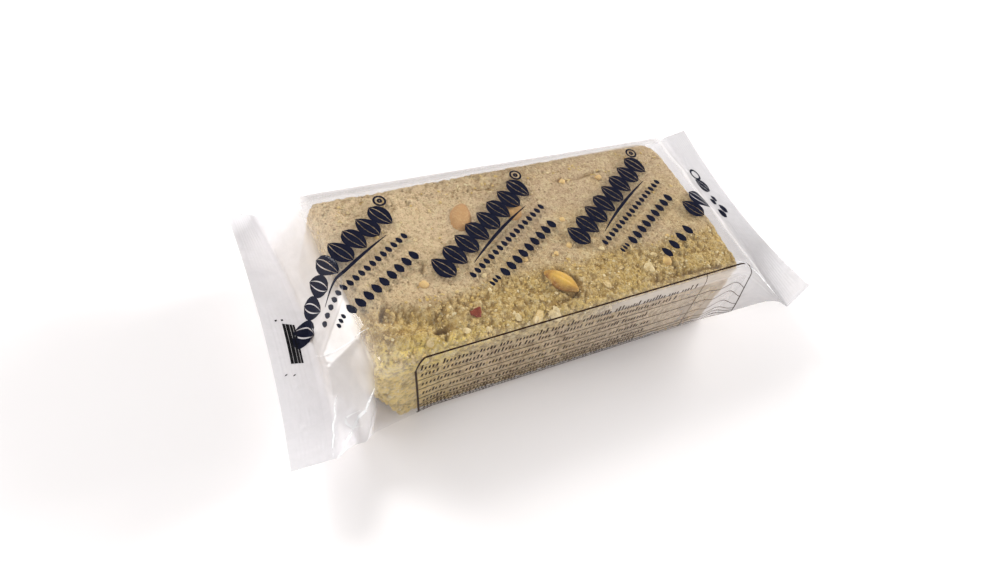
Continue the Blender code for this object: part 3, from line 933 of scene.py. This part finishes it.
def top_place(run, across):
    """The run and station on the top of the film over a place on the block, or off its left end.

    Past that end the film is drawn down towards the front, and it takes the print with it.
    """
    beyond = max(0.0, BODY_LEFT - run)
    run, across = run - DRAWN_BACK * beyond, across - DRAWN_FRONT * beyond**2
    share = (min(max(run, BODY_LEFT), BODY_RIGHT) - BODY_LEFT) / (BODY_RIGHT - BODY_LEFT)
    back = BODY_BACK_LEFT + (BODY_BACK_RIGHT - BODY_BACK_LEFT) * share - CORNER_RADIUS
    front = BODY_FRONT + CORNER_RADIUS
    return run, TOP_START + PANEL_STEPS["top"] * (across - front) / (back - front)


def side_place(run, height):
    """The run and station on the printed side panel at a height above its foot.

    Towards the right end the film is loose, and the print waves with it.
    """
    swing = min(max((run - WAVE_START) / WAVE_GROWTH, 0.0), 1.0)
    swing *= math.sin(math.pi * min(max(height / TABLE_TOP, 0), 1))
    height += WAVE_HEIGHT * math.sin((run - WAVE_ZERO) * WAVE_RATE) * swing
    low, high = CORNER_RADIUS, BODY_TOP - CORNER_RADIUS
    if height < low:
        return run, -ARC_STEPS * (low - height) / (1.57 * CORNER_RADIUS)
    if height > high:
        return run, PANEL_STEPS["front"] + ARC_STEPS * (height - high) / (1.15 * CORNER_RADIUS)
    return run, PANEL_STEPS["front"] * (height - low) / (high - low)


def thicken(piece, thickness, offset):
    solid = piece.modifiers.new("thickness", "SOLIDIFY")
    solid.thickness, solid.offset = thickness * MM, offset
    bpy.ops.object.modifier_apply(modifier=solid.name)


class InkDrawing:
    """Flat shapes gathered in the drawing's own plane, then laid on the film as one thin piece."""

    def __init__(self):
        self.places, self.faces = [], []

    def patch(self, shape, long_cells, cross_cells):
        """A mapped patch: shape(s, t) gives the drawing's point for shares 0 to 1 both ways."""
        start = len(self.places)
        for a in range(long_cells + 1):
            self.places += [shape(a / long_cells, b / cross_cells) for b in range(cross_cells + 1)]
        wide = cross_cells + 1
        for a in range(long_cells):
            for b in range(cross_cells):
                corner = start + a * wide + b
                self.faces.append((corner, corner + wide, corner + wide + 1, corner + 1))

    def stroke(self, start, end, width, end_width=None, bow=0.0):
        """A straight or bowed rule; its width may run out to another at the ends."""
        (x0, y0), (x1, y1) = start, end
        length = math.hypot(x1 - x0, y1 - y0)
        along, aside = ((x1 - x0) / length, (y1 - y0) / length), (-(y1 - y0) / length, (x1 - x0) / length)

        def shape(s, t):
            thick = width if end_width is None else end_width + (width - end_width) * math.sin(math.pi * s)
            off = (t - 0.5) * thick + bow * 4 * s * (1 - s)
            return x0 + along[0] * s * length + aside[0] * off, y0 + along[1] * s * length + aside[1] * off
        self.patch(shape, max(1, round(length / INK_CELL)), 1 if width < 1.2 else 2)

    def seed_row(self, count, start, run, slope, length, width):
        """Plain seeds, evenly over a run from a start; the slope is in degrees."""
        for share in (k / (count - 1) for k in range(count)):
            centre = (start[0] + run[0] * share, start[1] + run[1] * share)
            self.seed(centre, math.radians(slope), length, width, stripes=False)

    def seed(self, centre, turn, length, width, point=1, stripes=True):
        """A sunflower seed standing on its round end, in three dark bands or plain."""
        c, s = math.cos(turn), math.sin(turn)
        bands = ((-1, -0.40), (-0.29, 0.29), (0.40, 1)) if stripes else ((-1, 1),)
        for low, high in bands:
            def shape(along, across, low=low, high=high):
                swell = math.sin(math.pi * min(max(along, 0.0), 1.0)) ** 0.62 * (1.12 - 0.42 * along)
                u = point * (along - 0.5) * length
                v = (low + (high - low) * across) * swell * width / 2
                return centre[0] + c * v - s * u, centre[1] + s * v + c * u
            self.patch(shape, 9 if stripes else 5, 2 if stripes else 3)

    def ring(self, centre, outer, inner):
        self.patch(lambda s, t: (centre[0] + (inner + (outer - inner) * t) * math.cos(2 * math.pi * s),
                                 centre[1] + (inner + (outer - inner) * t) * math.sin(2 * math.pi * s)), 28, 1)

    def lay(self, name, place_on_film, material):
        """Wraps the drawing onto the film and gives the ink its thickness."""
        laid = []
        for run, across in self.places:
            spot, up = on_film(*place_on_film(run, across))
            laid.append(spot + up * INK_LIFT)
        piece = new_piece(name, laid, self.faces)
        bpy.ops.object.mode_set(mode="EDIT")
        bpy.ops.mesh.select_all(action="SELECT")
        bpy.ops.mesh.remove_doubles(threshold=0.01 * MM)
        bpy.ops.mesh.dissolve_degenerate(threshold=0.005 * MM)
        bpy.ops.object.mode_set(mode="OBJECT")
        face_up = sum((face.normal.z - face.normal.y - 0.3 * abs(face.normal.x)) * face.area
                      for face in piece.data.polygons)
        if face_up < 0:
            piece.data.flip_normals()
        thicken(piece, INK_THICKNESS, 1)
        piece.data.materials.append(material)
        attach(piece, "root")


def ink_material(name, color, paler_tone):
    material, tree, output = start_material(name)
    place = object_place(tree)
    screen = noise_at(tree, place, 700.0, 3.0, 0.6)
    shader = add_node(tree, "BsdfPrincipled", {
        "Base Color": blend_colors(tree, remap(tree, screen, 0.45, 0.75), color, paler_tone),
        "Roughness": remap(tree, screen, 0.3, 0.7, 0.28, 0.42), "Specular IOR Level": 0.08})
    show(tree, output, shader)
    return material


blue_ink = ink_material("dark_blue_ink", (0.0085, 0.0095, 0.020), (0.014, 0.016, 0.030))
brown_ink = ink_material("dark_brown_ink", (0.030, 0.014, 0.009), (0.05, 0.026, 0.016))

MARK_PITCH, MARK_SLOPE, MARK_HEIGHT, MARK_LENGTH, MARK_SHAPES = 53.9, math.radians(31.1), 9.0, 57.0, 8
SEED_LENGTH, SEED_WIDTH = 9.8, 8.0
SIGN_SPOT, SIGN_RINGS = (58.6, 8.6), ((2.35, 1.6), (0.95, 0.15))
BOW_FROM, BOW_TO, BOW_WIDTH, BOW_END_WIDTH, BOW_RISE = (12.5, -1.9), (48.0, -1.9), 1.15, 0.2, 0.9
SMALL_ROWS = (  # small seeds below each mark: how many, start from its corner, run, slope, length, width
    (17, (8.9, 0.3), (38.6, 21.1), 28.7, 2.9, 2.1), (3, (13.6, -4.6), (3.1, 1.7), 28, 2.5, 1.4),
    (9, (20.2, -1.5), (27.0, 14.6), 28, 4.3, 3.1))
marks = InkDrawing()
for number in range(-1, 3):
    corner = (-45.7 + MARK_PITCH * number, -11.9)

    def place_in_mark(along, up, corner=corner):
        return (corner[0] + along * math.cos(MARK_SLOPE) - up * math.sin(MARK_SLOPE),
                corner[1] + along * math.sin(MARK_SLOPE) + up * math.cos(MARK_SLOPE))
    folded = number == 2  # a fold at the right end hides most of the last mark
    for k in range(2 if folded else MARK_SHAPES):
        along = MARK_LENGTH * (k + 0.5) / MARK_SHAPES
        marks.seed(place_in_mark(along, MARK_HEIGHT / 2), MARK_SLOPE, SEED_LENGTH, SEED_WIDTH, 1 - 2 * (k % 2))
    if not folded:
        for outer, inner in SIGN_RINGS:
            marks.ring(place_in_mark(*SIGN_SPOT), outer, inner)
        marks.stroke(place_in_mark(*BOW_FROM), place_in_mark(*BOW_TO), BOW_WIDTH, BOW_END_WIDTH, bow=BOW_RISE)
        for count, start, *rest in SMALL_ROWS:
            marks.seed_row(count, (corner[0] + start[0], corner[1] + start[1]), *rest)
# What shows of the last mark beyond its fold, where the film comes down to the crimp.
marks.ring((106.6, 15.4), 2.1, 1.4)
marks.seed((105.9, 11.3), MARK_SLOPE, 5.6, 5.0)
marks.seed_row(2, (104.6, 5.2), (1.6, 1.0), 28, 2.6, 1.9)
marks.seed_row(2, (104.6, 0.8), (2.4, 1.5), 28, 3.6, 2.8)
marks.seed_row(4, (38.6, -22.0), (15.0, 7.2), 25.6, 5.2, 3.5)
marks.lay("print_marks", top_place, blue_ink)

# On the left crimp the drawing's own plane is the run along the film and the station round it.
EYE_MARK = ((-112.4, 55.3), (-108.9, 53.1), (-114.8, 35.5), (-111.1, 34.2))
EYE_DOTS = ((-113.8, 57.4, 0.42), (-111.9, 56.9, 0.42), (-115.6, 27.3, 0.2), (-112.1, 26.5, 0.2))
DOT_HALF_WIDTH = 0.34
black_ink = ink_material("black_ink", (0.006, 0.006, 0.007), (0.02, 0.02, 0.022))
eye = InkDrawing()


def in_eye_mark(s, t):
    (x0, y0), (x1, y1), (x2, y2), (x3, y3) = EYE_MARK
    return ((1 - s) * ((1 - t) * x0 + t * x1) + s * ((1 - t) * x2 + t * x3),
            (1 - s) * ((1 - t) * y0 + t * y1) + s * ((1 - t) * y2 + t * y3))


for start, end in ((0.0, 0.24), (0.27, 0.56), (0.59, 0.80), (0.83, 1.0)):  # the ribs leave thin gaps
    eye.patch(lambda s, t: in_eye_mark(s, start + (end - start) * t), 24, 4)
for x, y, tall in EYE_DOTS:
    eye.patch(lambda s, t: (x + DOT_HALF_WIDTH * (2 * s - 1), y + tall * (2 * t - 1)), 2, 2)
eye.lay("print_eye_mark", lambda run, station: (run, station), black_ink)

TABLE_LEFT_TOP, TABLE_LEFT_FOOT = (-68.5, TABLE_TOP), (-59.8, 1.0)
TABLE_RULES = (25.2, 19.4, 13.4, 9.2, 7.2, 5.4, 3.4, 1.6)
TICK_ROWS = (  # height, and how tall its ticks are
    (32.0, 2.4), (28.4, 2.4), (22.5, 2.3), (16.5, 2.2), (11.2, 1.8), (8.2, 1.2), (6.3, 1.0),
    (4.4, 1.0), (2.5, 0.9))
TABLE_RIGHT, RIGHT_LEAN, COLUMN_X, CORNER = 72.6, 0.17, 50.5, 3.6
LEFT_SHOULDER, RIGHT_SHOULDER, TABLE_FOOT = 31.5, 33.6, 2.0
LEFT_RULE, CORNER_RULE, FRAME_RULE, COLUMN_RULE, ROW_RULE, TICK_WIDTH = 0.75, 0.55, 0.42, 0.32, 0.34, 0.64


def table_left(height):
    """The table's left line leans over to the right towards its foot."""
    (x0, z0), (x1, z1) = TABLE_LEFT_TOP, TABLE_LEFT_FOOT
    return x0 + (x1 - x0) * (z0 - height) / (z0 - z1)


def table_right(height):
    return TABLE_RIGHT + RIGHT_LEAN * (RIGHT_SHOULDER - height)


table = InkDrawing()
left = table_left(LEFT_SHOULDER)
table.stroke((left, LEFT_SHOULDER), TABLE_LEFT_FOOT, LEFT_RULE)
table.stroke((left + 0.02, LEFT_SHOULDER - 0.1), (left + 3.0, TABLE_TOP - 0.5), CORNER_RULE, bow=0.9)
table.stroke((left + 3.0, TABLE_TOP - 0.5), (TABLE_RIGHT - CORNER, TABLE_TOP), FRAME_RULE)
table.stroke((TABLE_RIGHT - CORNER, TABLE_TOP), (TABLE_RIGHT, RIGHT_SHOULDER), FRAME_RULE, bow=0.4)
table.stroke((TABLE_RIGHT, RIGHT_SHOULDER), (table_right(TABLE_FOOT), TABLE_FOOT), FRAME_RULE)
table.stroke((COLUMN_X - 1.0, TABLE_TOP - 0.1), (COLUMN_X + 1.6, TABLE_FOOT), COLUMN_RULE)
for rule in TABLE_RULES:
    table.stroke((table_left(rule), rule), (table_right(rule), rule), ROW_RULE)
WORD_LENGTHS, WORD_GAP, TICK_GAPS, TICK_HEIGHTS = (3, 11), 1.1, (1.15, 1.45), (0.62, 0.62, 0.62, 1.0, 0.8)
words = random.Random(7)
for row, tall in TICK_ROWS:
    run = table_left(row) + 2.2
    end = COLUMN_X - 5 - 22 * words.random() * (row < 30)
    left_in_word = words.randint(*WORD_LENGTHS)
    while run < end:
        if left_in_word == 0:
            left_in_word = words.randint(*WORD_LENGTHS)
            run += WORD_GAP
        height = tall * words.choice(TICK_HEIGHTS)
        base = row - tall * 0.5
        table.stroke((run, base), (run, base + height), TICK_WIDTH)
        run += words.uniform(*TICK_GAPS)
        left_in_word -= 1
table.lay("print_table", side_place, brown_ink)


# --- Film creases -----------------------------------------------------------------------------
# Painted highlights where the stiff film is folded hard: thin white lines that run from the crimp to the block
# through the gussets. Each goes through places on the film: (run, station), and its widest in mm.
CREASE_GLINTS = (
    (((-90.9, 18.1), (-90.7, 11.3), (-94.9, 5.8), (-102.5, -0.3)), 0.5),
    (((-79.7, 22.8), (-81.4, 12.6), (-88.4, 4.7), (-103.7, -2.9)), 1.0),
    (((-82.9, 12.8), (-88.1, 10.0), (-89.0, 8.8), (-87.5, 6.2), (-83.3, 6.2)), 0.7),
    (((-77.1, 45.1), (-87.8, 40.2), (-97.7, 37.7), (-106.6, 35.8)), 0.35),
    (((64.8, 32.2), (71.8, 30.3), (83.1, 30.8), (103.9, 33.9)), 0.5))
CREASE_STEPS, CREASE_LIFT, CREASE_THICKNESS = 40, 0.06, 0.03
crease_points, crease_faces = [], []
for places, widest in CREASE_GLINTS:
    places = np.array(places)
    fine = np.linspace(0, len(places) - 1, CREASE_STEPS)
    on_line = (np.interp(fine, np.arange(len(places)), column) for column in places.T)
    spots, ups = (np.array(found) for found in zip(*map(on_film, *on_line)))
    sides = np.cross(ups, np.gradient(spots, axis=0))
    sides /= np.linalg.norm(sides, axis=1)[:, None]
    half_width = widest / 2 * (0.15 + 0.85 * np.sin(np.pi * fine / fine[-1]))[:, None]
    start = len(crease_points)
    edges = np.stack([spots - sides * half_width, spots + sides * half_width], axis=1).reshape(-1, 3)
    crease_points += list(edges + np.repeat(ups, 2, axis=0) * CREASE_LIFT)
    crease_faces += [[start + 2 * k + corner for corner in (0, 1, 3, 2)] for k in range(CREASE_STEPS - 1)]
creases = new_piece("film_crease_glints", crease_points, crease_faces)
thicken(creases, CREASE_THICKNESS, 0)
# The painted glint: patchy white over clear film.
painted_crease_glint, tree, output = start_material("painted_crease_glint")
broken = noise_at(tree, object_place(tree), 260.0, 3.0, 0.6)
clear = add_node(tree, "BsdfTransparent")
white = add_node(tree, "BsdfDiffuse", {"Color": (0.98, 0.98, 0.98, 1)})
sheer = add_node(tree, "MixShader", {0: remap(tree, broken, 0.30, 0.50, 0.25, 0.9), 1: clear.outputs[0],
                                     2: white.outputs[0]})
show(tree, output, sheer)
creases.data.materials.append(painted_crease_glint)
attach(creases, "root")
